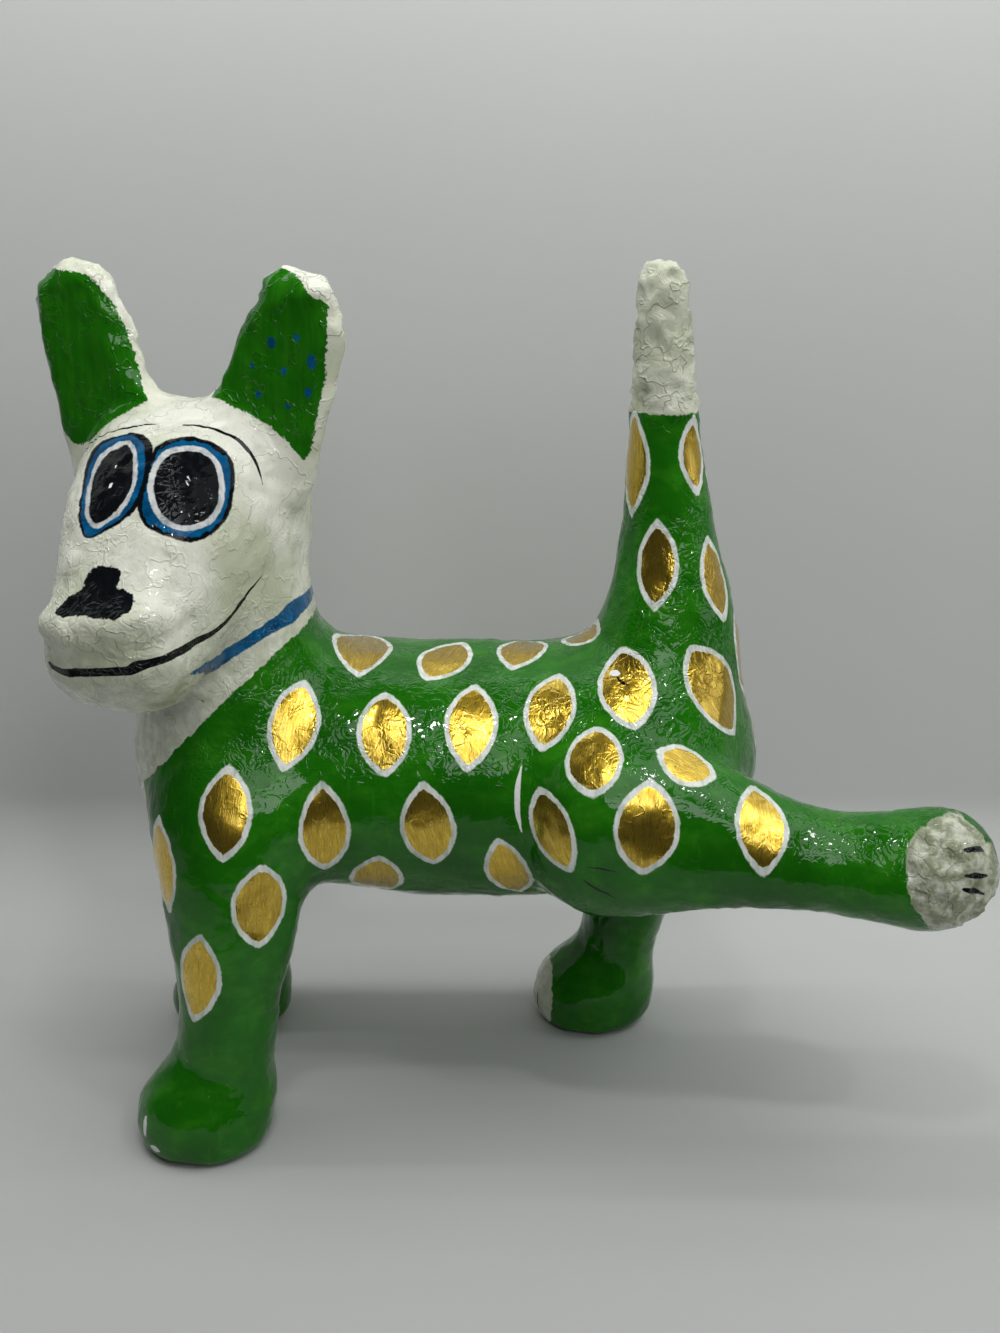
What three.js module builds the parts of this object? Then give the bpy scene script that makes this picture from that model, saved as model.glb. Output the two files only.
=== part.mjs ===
// Papier-mache dog: one closed body, standing on three feet with its left hind leg lifted behind it.
// The dog faces -X, its left side faces -Y, and +Z is up. All sizes are in millimetres.
// Every limb is a padded core with oval sections, and the skin runs smoothly from limb to limb.
import * as THREE from "three";

// Each core point is [x, y, z, radius along the limb's own plane, radius across it].
const TORSO = [
  [-98, 0, 145, 50, 55],
  [-60, 0, 143, 51.5, 58],
  [-10, 0, 140.5, 51.5, 58],
  [30, 0, 142, 52.5, 58],
  [52, 0, 147, 53, 58],
];
const NECK = [
  [-104, -2, 168, 42, 46],
  [-111, -4, 205, 37, 42],
  [-116, -6, 243, 37, 42],
];
const TAIL = [
  [63, 0, 168, 37, 42],
  [68, 0, 203, 27, 29],
  [67, 0, 236, 19.5, 19.5],
  [64.5, 0, 275, 14.5, 14.5],
  [63, 0, 310, 11.5, 11.5],
  [62.5, 0, 336.5, 9.5, 9.5],
];
const NEAR_FRONT_LEG = [
  [-105, -42, 130, 33, 28],
  [-106, -48, 98, 26, 24],
  [-110, -51, 56, 19.5, 20],
  [-113, -51, 25, 21, 21],
];
const FAR_FRONT_LEG = [
  [-105, 42, 130, 33, 28],
  [-108, 47, 98, 26, 24],
  [-115, 48, 56, 19, 20],
  [-118, 48, 28, 18.5, 20],
];
const FAR_HIND_LEG = [
  [66, 36, 130, 36, 28],
  [62, 44, 90, 21.5, 23],
  [57, 47, 50, 18, 19.5],
  [52, 47, 24, 18.5, 20],
];
// The left hind leg is lifted level with the belly and stretched out behind.
const LIFTED_LEG = [
  [45, -40, 135, 40, 36],
  [72, -50, 132, 30.5, 28],
  [100, -56, 128, 23, 23],
  [125, -61, 125, 19.5, 20],
  [146, -64, 124, 21, 21],
  [164, -66, 124, 24, 22],
];

// A foot is an oval pad: centre x, y, z, then half its length, width and height.
const NEAR_FRONT_FOOT = [-120, -55, 12, 27, 27, 24];
const FAR_FRONT_FOOT = [-125, 46, 10, 27, 25, 22];
const FAR_HIND_FOOT = [42.5, 46, 12, 26.5, 26, 24];

// The head looks out over the left shoulder. HEAD_TURN is measured from -Y towards -X, in degrees.
const HEAD_AXIS = [-121, -7];
const HEAD_TURN = 17;
// 2 would give oval sections; a higher number squares them.
const HEAD_SQUARENESS = 2.8;
// Points along the head: distance ahead of the head axis, height, half height, half width.
const HEAD = [
  [-3, 250, 43.5, 42],
  [18, 239, 38, 37],
  [42, 221, 31, 29.5],
  [55, 213, 26.5, 28],
];

// Ear outline corners, seen from the front: [distance to the dog's left, height].
const LEFT_EAR = [[12, 282], [41, 337], [54, 336], [60.5, 321], [45, 262]];
const RIGHT_EAR = [[-16, 282], [-36, 338], [-50, 339], [-57.5, 331], [-44, 256]];
const EAR_SETBACK = 2;
const EAR_HALF_THICKNESS = 1.5;
const EAR_ROUNDING = 5.5;

// How far the skin rounds into the body where each part joins it.
const LIMB_BLEND = 14;
const THIGH_BLEND = 5;
const TAIL_BLEND = 6;
const HEAD_BLEND = 6;
const EAR_BLEND = 10;
const FOOT_BLEND = 10;
// The edge of a sole is rounded over about this much of the foot.
const SOLE_ROUNDING = 4;

// Spacing of the lattice the skin is drawn from, and the space it covers.
const LATTICE = 8;
const SPACE_LOW = [-208, -119, -18];
const SPACE_HIGH = [208, 105, 366];
// A limb further off than this has no say in where the skin runs.
const FAR_OFF = 30;
const OPEN_AIR = 1000;
// How often the skin's points are evened out, and how far towards their neighbours' middle.
const EVENING_ROUNDS = 4;
const EVENING_SHARE = 0.5;
// A point reaches the skin in this many moves, each aimed by the slope felt this far to either side.
const SETTLING_MOVES = 5;
const FEELING_DISTANCE = 0.05;
// Where the slope squared is less than this, no way is steepest.
const LEVEL = 1e-6;
// This close to a core's middle, as a share of its radius, every way out is about as long.
const CORE_MIDDLE = 0.05;
const CORE_PIECES_PER_SPAN = 4;

// Smooth curve through the core points, split into short straight pieces.
function threadCore(points) {
  const threaded = [];
  const last = points.length - 1;
  for (let i = 0; i < last; i += 1) {
    const before = points[Math.max(i - 1, 0)];
    const after = points[Math.min(i + 2, last)];
    for (let k = 0; k < CORE_PIECES_PER_SPAN; k += 1) {
      const t = k / CORE_PIECES_PER_SPAN;
      threaded.push(points[i].map((from, axis) => {
        const to = points[i + 1][axis];
        const rise = (to - before[axis]) / 2;
        const fall = (after[axis] - from) / 2;
        const bend = 2 * (from - to) + rise + fall;
        const lean = 3 * (to - from) - 2 * rise - fall;
        return ((bend * t + lean) * t + rise) * t + from;
      }));
    }
  }
  threaded.push(points[last]);
  return threaded;
}

// Distance to an oval, or a rounded square, from a point offset from its centre by the first two numbers.
function ovalDistance(along, across, radiusAlong, radiusAcross, squareness) {
  const a = Math.abs(along) / radiusAlong;
  const b = Math.abs(across) / radiusAcross;
  const reach = (a ** squareness + b ** squareness) ** (1 / squareness);
  if (reach < CORE_MIDDLE) return -Math.min(radiusAlong, radiusAcross);
  const steep = Math.hypot(a ** (squareness - 1) / radiusAlong, b ** (squareness - 1) / radiusAcross);
  return ((reach - 1) * reach ** (squareness - 1)) / steep;
}

// A limb with oval sections. "across" is the level direction its second radius is measured in.
function makeLimb(core, across = [0, 1, 0], squareness = 2) {
  const threaded = threadCore(core);
  const thickest = Math.max(...threaded.map((point) => Math.max(point[3], point[4])));
  const low = [0, 1, 2].map((axis) => Math.min(...threaded.map((point) => point[axis])) - thickest);
  const high = [0, 1, 2].map((axis) => Math.max(...threaded.map((point) => point[axis])) + thickest);
  return (x, y, z) => {
    const away = Math.max(low[0] - x, x - high[0], low[1] - y, y - high[1], low[2] - z, z - high[2]);
    if (away > FAR_OFF) return away;
    let nearest = Infinity;
    for (let i = 0; i + 1 < threaded.length; i += 1) {
      const [ax, ay, az, aIn, aAcross] = threaded[i];
      const [bx, by, bz, bIn, bAcross] = threaded[i + 1];
      const dx = bx - ax;
      const dy = by - ay;
      const dz = bz - az;
      const dot = (x - ax) * dx + (y - ay) * dy + (z - az) * dz;
      const t = Math.min(1, Math.max(0, dot / (dx * dx + dy * dy + dz * dz)));
      const px = x - ax - t * dx;
      const py = y - ay - t * dy;
      const pz = z - az - t * dz;
      const side = px * across[0] + py * across[1] + pz * across[2];
      const rest = Math.sqrt(Math.max(0, px * px + py * py + pz * pz - side * side));
      const radiusIn = aIn + t * (bIn - aIn);
      const radiusAcross = aAcross + t * (bAcross - aAcross);
      nearest = Math.min(nearest, ovalDistance(rest, side, radiusIn, radiusAcross, squareness));
    }
    return nearest;
  };
}

function makeFoot([cx, cy, cz, length, width, height]) {
  return (x, y, z) => {
    const level = Math.hypot((x - cx) / length, (y - cy) / width);
    const lift = (z - cz) / height;
    const reach = Math.hypot(level, lift);
    const slope = Math.hypot((x - cx) / length ** 2, (y - cy) / width ** 2, (z - cz) / height ** 2);
    return reach < CORE_MIDDLE ? -height : (reach * (reach - 1)) / slope;
  };
}

// The head's own directions: ahead of the face, and towards the dog's left.
const turn = THREE.MathUtils.degToRad(HEAD_TURN);
const ahead = [-Math.sin(turn), -Math.cos(turn), 0];
const toLeft = [Math.cos(turn), -Math.sin(turn), 0];

function makeHead() {
  const core = HEAD.map(([forward, height, tall, wide]) => [
    HEAD_AXIS[0] + forward * ahead[0],
    HEAD_AXIS[1] + forward * ahead[1],
    height,
    tall,
    wide,
  ]);
  return makeLimb(core, toLeft, HEAD_SQUARENESS);
}

// Distance to a straight-sided outline, negative inside it.
function outlineDistance(corners, u, v) {
  let nearest = Infinity;
  let inside = false;
  corners.forEach(([au, av], i) => {
    const [bu, bv] = corners[(i + 1) % corners.length];
    const du = bu - au;
    const dv = bv - av;
    const t = Math.min(1, Math.max(0, ((u - au) * du + (v - av) * dv) / (du * du + dv * dv)));
    nearest = Math.min(nearest, Math.hypot(u - au - t * du, v - av - t * dv));
    if (av > v !== bv > v && u < au + ((v - av) / dv) * du) inside = !inside;
  });
  return inside ? -nearest : nearest;
}

// An ear is a flat slab facing ahead, with its outline and edges rounded.
function makeEar(corners) {
  return (x, y, z) => {
    const px = x - HEAD_AXIS[0];
    const py = y - HEAD_AXIS[1];
    const left = px * toLeft[0] + py * toLeft[1];
    const depth = Math.abs(px * ahead[0] + py * ahead[1] + EAR_SETBACK) - EAR_HALF_THICKNESS;
    const rim = outlineDistance(corners, left, z);
    const outside = Math.hypot(Math.max(rim, 0), Math.max(depth, 0));
    return outside + Math.min(Math.max(rim, depth), 0) - EAR_ROUNDING;
  };
}

// Joins two distances so that the skin rounds from one into the other.
function runTogether(a, b, blend) {
  const share = Math.max(blend - Math.abs(a - b), 0) / blend;
  return Math.min(a, b) - (share * share * blend) / 4;
}

const parts = [
  [makeLimb(TORSO), 1],
  [makeLimb(NECK), LIMB_BLEND],
  [makeLimb(TAIL), TAIL_BLEND],
  [makeLimb(NEAR_FRONT_LEG), LIMB_BLEND],
  [makeLimb(FAR_FRONT_LEG), LIMB_BLEND],
  [makeLimb(FAR_HIND_LEG), LIMB_BLEND],
  [makeFoot(NEAR_FRONT_FOOT), FOOT_BLEND],
  [makeFoot(FAR_FRONT_FOOT), FOOT_BLEND],
  [makeFoot(FAR_HIND_FOOT), FOOT_BLEND],
  [makeHead(), HEAD_BLEND],
  [makeEar(LEFT_EAR), EAR_BLEND],
  [makeEar(RIGHT_EAR), EAR_BLEND],
  [makeLimb(LIFTED_LEG), THIGH_BLEND],
];

// The limbs run together, then trimmed level at the floor so that the standing feet have flat soles.
function bodyDistance(x, y, z) {
  const join = (body, [part, blend]) => runTogether(body, part(x, y, z), blend);
  const limbs = parts.reduce(join, OPEN_AIR);
  return -runTogether(-limbs, z, SOLE_ROUNDING);
}

// Moves a point onto the skin, along the steepest way to it.
function settle(point) {
  const step = FEELING_DISTANCE;
  for (let move = 0; move < SETTLING_MOVES; move += 1) {
    const [x, y, z] = point;
    const here = bodyDistance(x, y, z);
    const slope = [
      (bodyDistance(x + step, y, z) - bodyDistance(x - step, y, z)) / (2 * step),
      (bodyDistance(x, y + step, z) - bodyDistance(x, y - step, z)) / (2 * step),
      (bodyDistance(x, y, z + step) - bodyDistance(x, y, z - step)) / (2 * step),
    ];
    const steep = slope[0] ** 2 + slope[1] ** 2 + slope[2] ** 2;
    if (steep < LEVEL) return;
    slope.forEach((value, axis) => {
      point[axis] -= (here * value) / steep;
    });
  }
}

// Draws the skin: one vertex in every lattice cell it passes through, joined across every crossed edge.
function drawSkin() {
  const count = SPACE_LOW.map((low, axis) => Math.ceil((SPACE_HIGH[axis] - low) / LATTICE) + 1);
  const indexOf = (i, j, k) => (i * count[1] + j) * count[2] + k;
  const value = new Float64Array(count[0] * count[1] * count[2]);
  for (let i = 0; i < count[0]; i += 1) {
    for (let j = 0; j < count[1]; j += 1) {
      for (let k = 0; k < count[2]; k += 1) {
        const x = SPACE_LOW[0] + i * LATTICE;
        const y = SPACE_LOW[1] + j * LATTICE;
        const z = SPACE_LOW[2] + k * LATTICE;
        value[indexOf(i, j, k)] = bodyDistance(x, y, z);
      }
    }
  }

  const corners = [0, 1, 2, 3, 4, 5, 6, 7].map((n) => [n & 1, (n >> 1) & 1, n >> 2]);
  const edges = [];
  corners.forEach((from, a) => {
    corners.forEach((to, b) => {
      const apart = from.reduce((sum, part, axis) => sum + Math.abs(part - to[axis]), 0);
      if (a < b && apart === 1) edges.push([from, to]);
    });
  });

  const points = [];
  const cellPoint = new Map();
  for (let i = 0; i + 1 < count[0]; i += 1) {
    for (let j = 0; j + 1 < count[1]; j += 1) {
      for (let k = 0; k + 1 < count[2]; k += 1) {
        const sum = [0, 0, 0];
        let crossings = 0;
        edges.forEach(([from, to]) => {
          const a = value[indexOf(i + from[0], j + from[1], k + from[2])];
          const b = value[indexOf(i + to[0], j + to[1], k + to[2])];
          if (a < 0 === b < 0) return;
          const t = a / (a - b);
          crossings += 1;
          from.forEach((part, axis) => {
            sum[axis] += part + t * (to[axis] - part);
          });
        });
        if (!crossings) continue;
        const within = sum.map((total) => total / crossings);
        const point = [i, j, k].map((cell, axis) => SPACE_LOW[axis] + (cell + within[axis]) * LATTICE);
        settle(point);
        cellPoint.set(indexOf(i, j, k), points.length);
        points.push(point);
      }
    }
  }

  const triangles = [];
  const apart = (a, b) => Math.hypot(...points[a].map((part, axis) => part - points[b][axis]));
  for (let i = 1; i + 1 < count[0]; i += 1) {
    for (let j = 1; j + 1 < count[1]; j += 1) {
      for (let k = 1; k + 1 < count[2]; k += 1) {
        for (let axis = 0; axis < 3; axis += 1) {
          const on = [0, 1, 2].map((n) => (n === axis ? 1 : 0));
          const a = value[indexOf(i, j, k)];
          const b = value[indexOf(i + on[0], j + on[1], k + on[2])];
          if (a < 0 === b < 0) continue;
          const u = [0, 1, 2].map((n) => (n === (axis + 1) % 3 ? 1 : 0));
          const v = [0, 1, 2].map((n) => (n === (axis + 2) % 3 ? 1 : 0));
          const cell = (su, sv) => {
            const back = [0, 1, 2].map((n) => su * u[n] + sv * v[n]);
            return cellPoint.get(indexOf(i - back[0], j - back[1], k - back[2]));
          };
          const ring = [cell(1, 1), cell(0, 1), cell(0, 0), cell(1, 0)];
          if (a >= 0) ring.reverse();
          const [p, q, r, s] = ring;
          if (apart(p, r) < apart(q, s)) triangles.push(p, q, r, p, r, s);
          else triangles.push(p, q, s, q, r, s);
        }
      }
    }
  }

  for (let round = 0; round < EVENING_ROUNDS; round += 1) {
    const sums = points.map(() => [0, 0, 0, 0]);
    triangles.forEach((from, n) => {
      const to = triangles[n % 3 === 2 ? n - 2 : n + 1];
      [[from, to], [to, from]].forEach(([one, other]) => {
        points[other].forEach((value, axis) => {
          sums[one][axis] += value;
        });
        sums[one][3] += 1;
      });
    });
    points.forEach((point, n) => {
      point.forEach((value, axis) => {
        point[axis] = value + EVENING_SHARE * (sums[n][axis] / sums[n][3] - value);
      });
      settle(point);
    });
  }
  return { points, triangles };
}

const skin = drawSkin();
const geometry = new THREE.BufferGeometry();
geometry.setAttribute("position", new THREE.Float32BufferAttribute(skin.points.flat(), 3));
geometry.setIndex(skin.triangles);
geometry.computeBoundingBox();
const middle = geometry.boundingBox.getCenter(new THREE.Vector3());
geometry.translate(-middle.x, -middle.y, -geometry.boundingBox.min.z);
geometry.computeVertexNormals();

const paint = new THREE.MeshStandardMaterial({ color: 0x23781a, roughness: 0.25, metalness: 0 });
const dog = new THREE.Mesh(geometry, paint);
dog.name = "dog";

const part = new THREE.Group();
part.add(dog);

export default part;
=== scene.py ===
import math

import bmesh
import bpy
import numpy as np
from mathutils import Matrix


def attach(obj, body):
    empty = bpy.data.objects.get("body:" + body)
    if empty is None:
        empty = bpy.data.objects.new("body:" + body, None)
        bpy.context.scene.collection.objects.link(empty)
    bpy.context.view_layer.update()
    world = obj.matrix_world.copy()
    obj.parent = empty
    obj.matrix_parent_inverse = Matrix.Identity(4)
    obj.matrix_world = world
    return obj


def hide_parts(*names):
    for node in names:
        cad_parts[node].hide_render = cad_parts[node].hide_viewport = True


# A hand-painted papier-mache dog, standing on a pale sweep under soft studio light.
# Lengths in the dictionaries are millimetres in the row frame: x along the dog from nose
# to raised paw, y away from the viewer, z up. The mesh itself is in metres.

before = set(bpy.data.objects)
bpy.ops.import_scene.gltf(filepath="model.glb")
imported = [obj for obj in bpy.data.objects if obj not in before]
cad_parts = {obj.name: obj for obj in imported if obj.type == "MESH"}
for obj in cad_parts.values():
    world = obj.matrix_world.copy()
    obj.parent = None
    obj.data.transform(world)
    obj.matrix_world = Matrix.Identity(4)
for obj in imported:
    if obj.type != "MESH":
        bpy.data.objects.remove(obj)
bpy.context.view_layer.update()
mm = 0.001
print("frame loaded")


# small helpers for arrays of points

def unit(vectors):
    # each vector divided by its own length
    vectors = np.asarray(vectors, float)
    return vectors / np.maximum(np.linalg.norm(vectors, axis=-1, keepdims=True), 1e-12)


def easeStep(low, high, value):
    # 0 below low, 1 above high, and 3t^2 - 2t^3 between them
    t = np.clip((value - low) / (high - low), 0, 1)
    return t * t * (3 - 2 * t)


def threadThrough(points, steps, closed=False):
    # Catmull-Rom: between two points the curve is the cubic that leaves each along the line
    # joining its neighbours
    points = np.asarray(points, float)
    if closed:
        before, here = np.roll(points, 1, axis=0), points
        there, after = np.roll(points, -1, axis=0), np.roll(points, -2, axis=0)
    else:
        padded = np.vstack([2 * points[0] - points[1], points, 2 * points[-1] - points[-2]])
        before, here, there, after = padded[:-3], padded[1:-2], padded[2:-1], padded[3:]
    t = (np.arange(steps) / steps)[None, :, None]
    before, here, there, after = (p[:, None, :] for p in (before, here, there, after))
    curve = 0.5 * (
        2 * here
        + (there - before) * t
        + (2 * before - 5 * here + 4 * there - after) * t ** 2
        + (3 * here - before - 3 * there + after) * t ** 3
    )
    curve = curve.reshape(-1, points.shape[1])
    return curve if closed else np.vstack([curve, points[-1]])


def ripple(points, wavelength, seed, waves=28):
    # sum of plane sine waves in random directions, each about one wavelength long, scaled so
    # that its usual size is 1
    rng = np.random.default_rng(seed)
    directions = unit(rng.normal(size=(waves, 3)))
    lengths = wavelength * rng.uniform(0.7, 1.4, waves)
    phases = rng.uniform(0, 2 * math.pi, waves)
    angles = points @ (directions / lengths[:, None]).T * 2 * math.pi + phases
    return np.sin(angles).sum(axis=1) * math.sqrt(2 / waves)


def paintFrame(normal):
    # across and along directions of a flat patch that touches the skin: along is as near to
    # straight up as the patch allows, and on a level patch across runs down the dog
    normal = unit(normal)
    across = np.cross((0, 0, 1), normal)
    if abs(normal[2]) > 0.95:
        across = np.array((1.0, 0, 0)) - normal * normal[0]
    across = unit(across)
    return across, np.cross(normal, across), normal


# the skin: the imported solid, smoothed

skin = {
    "refineLevels": 2,  # each level cuts every face in four
    "fitRounds": 4,  # pushes that bring the smooth skin back through the solid's own corners
}


def smoothSkin(node):
    # a Catmull-Clark surface whose cage is moved until the surface passes through the corners
    # of the solid: cage = cage + (corner - surface point over that corner), a few times
    form = bmesh.new()
    form.from_mesh(node.data)
    bmesh.ops.remove_doubles(form, verts=form.verts, dist=2e-6)
    bmesh.ops.join_triangles(
        form, faces=form.faces, angle_face_threshold=math.pi, angle_shape_threshold=math.pi
    )
    mesh = bpy.data.meshes.new("dogCage")
    form.to_mesh(mesh)
    form.free()
    cage = bpy.data.objects.new("dogCage", mesh)
    bpy.context.scene.collection.objects.link(cage)
    refine = cage.modifiers.new("refine", "SUBSURF")
    refine.levels = refine.render_levels = skin["refineLevels"]
    refine.boundary_smooth = "ALL"

    corners = np.empty(len(mesh.vertices) * 3)
    mesh.vertices.foreach_get("co", corners)
    moved = corners.copy()
    for _ in range(skin["fitRounds"]):
        mesh.vertices.foreach_set("co", moved)
        mesh.update()
        bpy.context.view_layer.update()
        shown = cage.evaluated_get(bpy.context.evaluated_depsgraph_get())
        smooth = np.empty(len(shown.data.vertices) * 3)
        shown.data.vertices.foreach_get("co", smooth)
        moved += corners - smooth[: len(corners)]
    mesh.vertices.foreach_set("co", moved)
    mesh.update()
    bpy.context.view_layer.update()
    shown = cage.evaluated_get(bpy.context.evaluated_depsgraph_get())
    fine = bpy.data.meshes.new_from_object(shown)
    bpy.data.objects.remove(cage)
    return fine


dogMesh = smoothSkin(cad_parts["dog"])
dogMesh.name = "paintedDogSkin"
count = len(dogMesh.vertices)
flat = np.empty(count * 3)
dogMesh.vertices.foreach_get("co", flat)
places = flat.reshape(-1, 3) / mm
dogMesh.vertex_normals.foreach_get("vector", flat)
facing = flat.reshape(-1, 3).copy()
pairs = np.empty(len(dogMesh.edges) * 2, dtype=np.int32)
dogMesh.edges.foreach_get("vertices", pairs)
pairs = pairs.reshape(-1, 2)
print("skin refined:", count, "points")


# regions of the dog, by place along it
aheadOfBack = places[:, 0] < -30  # neck, head and front of the chest
onTail = places[:, 0] > 20
onRaisedPaw = places[:, 0] > 130


def nearestPoint(place):
    return int(((places - place) ** 2).sum(axis=1).argmin())


def neighbourMean(values):
    # mean of each point's neighbours along the mesh edges
    values = values.reshape(count, -1)
    total = np.zeros_like(values)
    for column in range(values.shape[1]):
        total[:, column] = np.bincount(pairs[:, 0], values[pairs[:, 1], column], count)
        total[:, column] += np.bincount(pairs[:, 1], values[pairs[:, 0], column], count)
    shares = np.bincount(pairs.ravel(), minlength=count)
    return total / np.maximum(shares, 1)[:, None]


# paint laid out on the skin as distances

def insideDistance(points, outline):
    # distance from each flat point to a closed outline, counted positive inside it
    start, end = outline, np.roll(outline, -1, axis=0)
    run = end - start
    rel = points[:, None, :] - start
    share = np.clip((rel * run).sum(-1) / np.maximum((run * run).sum(-1), 1e-9), 0, 1)
    gap = np.sqrt(((rel - run * share[..., None]) ** 2).sum(-1)).min(axis=1)
    level = points[:, None, 1]
    spans = (start[:, 1] > level) != (end[:, 1] > level)
    rise = np.where(np.abs(run[:, 1]) < 1e-9, 1e-9, run[:, 1])
    crossing = start[:, 0] + (level - start[:, 1]) / rise * run[:, 0]
    inside = (spans & (points[:, None, 0] < crossing)).sum(axis=1) % 2 == 1
    return np.where(inside, gap, -gap)


far = -40.0  # a distance that no painted edge reaches


def stencil(sheet, outline, turned=0.05):
    # lays an outline on the skin straight through a flat sheet: the sheet has an origin and a
    # facing direction, and only skin that looks towards the sheet takes the paint
    across, along, out = paintFrame(sheet["facing"])
    rel = places - sheet["origin"]
    flatPlaces = np.stack([rel @ across, rel @ along], axis=1)
    curve = threadThrough(outline, 5, closed=True)
    low, high = curve.min(axis=0) - 12, curve.max(axis=0) + 12
    near = ((flatPlaces > low) & (flatPlaces < high)).all(axis=1)
    near &= (facing @ out > turned) & (np.abs(rel @ out) < sheet["depth"])
    field = np.full(count, far)
    field[near] = insideDistance(flatPlaces[near], curve)
    return field


faceSheet = {"origin": (-129.0, -56.6, 251.0), "facing": (0.2131, -0.954, 0.2111), "depth": 60}

eyes = {
    "nearRim": [
        (1.9, 29.1), (4.9, 33.4), (9.6, 36.2), (15.2, 37.1), (20.7, 36.3), (26, 34), (30.2, 30.2),
        (32, 24.4), (31.5, 17.6), (29.8, 10.9), (26.6, 5.4), (22.4, 1.5), (17.8, -0.8),
        (12.9, -1.5), (7.5, 0), (2.9, 2.3), (-1.1, 4.7), (-3, 8.4), (-3.2, 12.3), (-1.8, 17.8),
        (-0.3, 23.4),
    ],
    "nearPupil": [
        (9.1, 30.3), (15.3, 31.6), (21.2, 30.2), (24.8, 26), (25.9, 18.9), (24.4, 11.6),
        (20.8, 6.8), (15.1, 4.5), (9.5, 5), (5.4, 8), (3.1, 13.1), (2.8, 19.9), (5, 26),
    ],
    "farRim": [
        (-23.7, 3.1), (-20.4, 1.3), (-14.9, 3.5), (-9.3, 6.5), (-4.7, 9.8), (-1.5, 14.4),
        (0.8, 20), (2.4, 25.6), (3.5, 31.3), (2.7, 36.1), (-0.5, 39.3), (-7.5, 40), (-13.9, 38.2),
        (-18.7, 34.3), (-21.8, 27.3), (-23.3, 19.2), (-24.5, 10.1),
    ],
    "farBlue": [
        (-22.9, 3.5), (-20.4, 2.1), (-15.1, 4.5), (-10, 7.6), (-5.8, 11.1), (-2.7, 16.2),
        (-0.6, 22.3), (0.5, 29.2), (0, 35.1), (-2.8, 38.3), (-7.6, 39.3), (-13.3, 37.1),
        (-17.7, 33.4), (-20.7, 27), (-22.5, 18.9), (-23.6, 10),
    ],
    "farPupil": [
        (-6.6, 36), (-4.6, 33), (-4.1, 26), (-5.7, 18), (-8.6, 13.1), (-12.9, 9.2), (-18, 6.4),
        (-20.1, 8.5), (-20.5, 14.4), (-19, 22.3), (-16.3, 29.2), (-11.8, 33.6),
    ],
    "rimLine": 1.6,  # black line round the near eye
    "paleRing": 2.1,  # pale ring round the near pupil
    "farPaleRing": 1.6,
}

nose = [
    (-33.6, -25.4), (-32.9, -22.4), (-29.5, -18.8), (-25, -16.2), (-23.2, -12.5),
    (-19.8, -9.1), (-14.9, -8.6), (-11.3, -10.3), (-11.1, -13), (-13.4, -16.1),
    (-11.1, -16.8), (-8, -18.5), (-6.9, -21.7), (-8.2, -24.8), (-11.1, -26.8), (-13.3, -28.3),
    (-15.9, -27.1), (-20.1, -27.2), (-23.3, -26.4), (-27.6, -25.9), (-30.8, -26.3),
]

pawSheet = {"origin": (160.0, -70.0, 128.0), "facing": (0.35, -0.92, 0.12), "depth": 40}

# brushed black lines: places along each line, then the half width of the brush at each place
inkLines = {
    "mouth": (
        [(-166.2, -65.9, 207.1), (-160.8, -70.2, 205.6), (-152.6, -74.4, 206.6),
         (-141.9, -77.8, 207.8), (-134.9, -79, 208.4), (-131.8, -79, 210), (-126.7, -77.3, 211.1),
         (-122.7, -75.1, 211.8), (-118.4, -69.5, 212.8), (-111.9, -55.9, 214.4),
         (-107.5, -48.3, 216.6), (-102.7, -41.7, 220.9), (-98.2, -36.4, 226.1),
         (-93.6, -30.5, 232)],
        [1.1, 1.5, 1.65, 1.7, 2, 2.2, 1.75, 1.6, 1.65, 1.3, 1, 0.85, 0.6, 0.2],
    ),
    "farBrow": (
        [(-165.4, 4.6, 273.8), (-157.6, -8.7, 279.7), (-150.7, -12.2, 283.1),
         (-143.1, -14.5, 285.2), (-133.2, -17.3, 286.2)],
        [0.15, 0.35, 0.4, 0.5, 0.3],
    ),
    "nearBrow": (
        [(-121.8, -20.3, 286.3), (-115.4, -21, 285.9), (-108.5, -22, 284.3),
         (-101.7, -22.3, 281.2), (-97.8, -22.9, 277.3), (-95, -24.1, 272.4),
         (-93.1, -25.4, 265.7)],
        [0.3, 0.5, 0.65, 0.75, 0.85, 0.7, 0.2],
    ),
    "topClaw": ([(167.2, -74.3, 138.2), (171, -72.4, 137.7), (175.2, -70, 136.8)], [0.9, 1.1, 0.9]),
    "lowClaw": ([(166.4, -78.9, 125.2), (170, -77.6, 123.9), (173.8, -75.9, 122.2)], [0.8, 1, 0.6]),
    "hindClaw": ([(13.9, 46.9, 14), (13.6, 46.4, 11), (13.7, 46.2, 8)], [0.5, 0.9, 0.6]),
    "crackUnderThigh": (
        [(27, -63.4, 122.3), (31, -63, 119), (36, -62.5, 115.6), (41, -62.2, 113.2)],
        [0.1, 0.45, 0.55, 0.15],
    ),
    "crackOnThigh": ([(29.5, -65.1, 127.4), (34.5, -66, 127), (40, -66.8, 126.3)], [0.1, 0.4, 0.1]),
    "scratchOnSpot": ([(41.6, -25.4, 189.5), (43.2, -27.4, 187.8), (45.4, -28.6, 187)], [0.3, 0.8, 0.3]),
}

# lines that lie beside one of those above are laid out on their own
inkLinesBetween = {
    "midClaw": ([(167, -77.9, 130.2), (171, -76.5, 129.4), (175.6, -74.3, 128.1)], [0.7, 1.1, 0.8]),
}


# the edge of a gold oval that is tucked into the fold in front of the thigh
paleLines = {
    "tuckedEdge": (
        [(4.2, -45, 160), (3, -47.5, 154), (2.7, -48.8, 148), (3.1, -49.2, 142),
         (4.6, -49, 136.5)],
        [0.3, 0.9, 1.1, 0.9, 0.3],
    ),
}


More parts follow.
